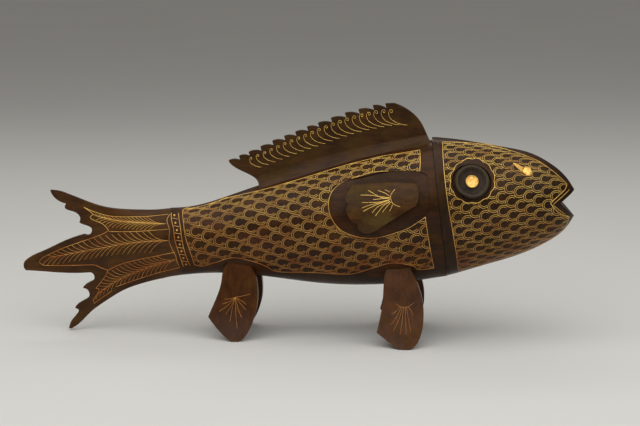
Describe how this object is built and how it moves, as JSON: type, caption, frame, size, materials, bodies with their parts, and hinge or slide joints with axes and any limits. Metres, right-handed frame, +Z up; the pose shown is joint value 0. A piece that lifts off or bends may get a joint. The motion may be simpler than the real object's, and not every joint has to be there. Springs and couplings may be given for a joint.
{
  "type": "fish guiro",
  "caption": "Fish-shaped wooden guiro: hollow trunk and pull-off head, a toothed dorsal comb to scrape, a forked tail and fin-shaped feet.",
  "frame": {"origin": "on the ground under the middle of the fish's overall length and width", "axes": "+X towards the snout, +Z up, +Y towards the fish's left flank"},
  "size_m": [0.4139, 0.1008, 0.1749],
  "materials": {
    "lacquered_wood": "dark brown lacquered wood, semi-gloss, with gilt drawing",
    "plain_wood": "bare turned hardwood, matte",
    "dark_wood": "turned near-black hardwood, semi-gloss",
    "gilt": "gilt metal, softly polished"
  },
  "bodies": {
    "trunk": {"trunk_shell": "lacquered_wood", "neck_ring": "plain_wood", "tail_fin": "lacquered_wood", "tail_dowels": "plain_wood", "dorsal_comb": "lacquered_wood", "side_fin_right": "lacquered_wood", "side_fin_left": "lacquered_wood", "side_fin_pegs": "plain_wood", "front_foot_right": "lacquered_wood", "front_foot_left": "lacquered_wood", "rear_foot_right": "lacquered_wood", "rear_foot_left": "lacquered_wood", "foot_dowels": "plain_wood"},
    "head": {"head_shell": "lacquered_wood", "eye_boss_right": "dark_wood", "eye_boss_left": "dark_wood", "eye_stud_right": "gilt", "eye_stud_left": "gilt", "nostril_stud_right": "gilt", "nostril_stud_left": "gilt"}
  },
  "joints": [
    {"name": "head_pull", "type": "slide", "parent": "trunk", "child": "head", "axis": [0.9923, 0, 0.1236], "range_m": [0, 0.045]}
  ]
}
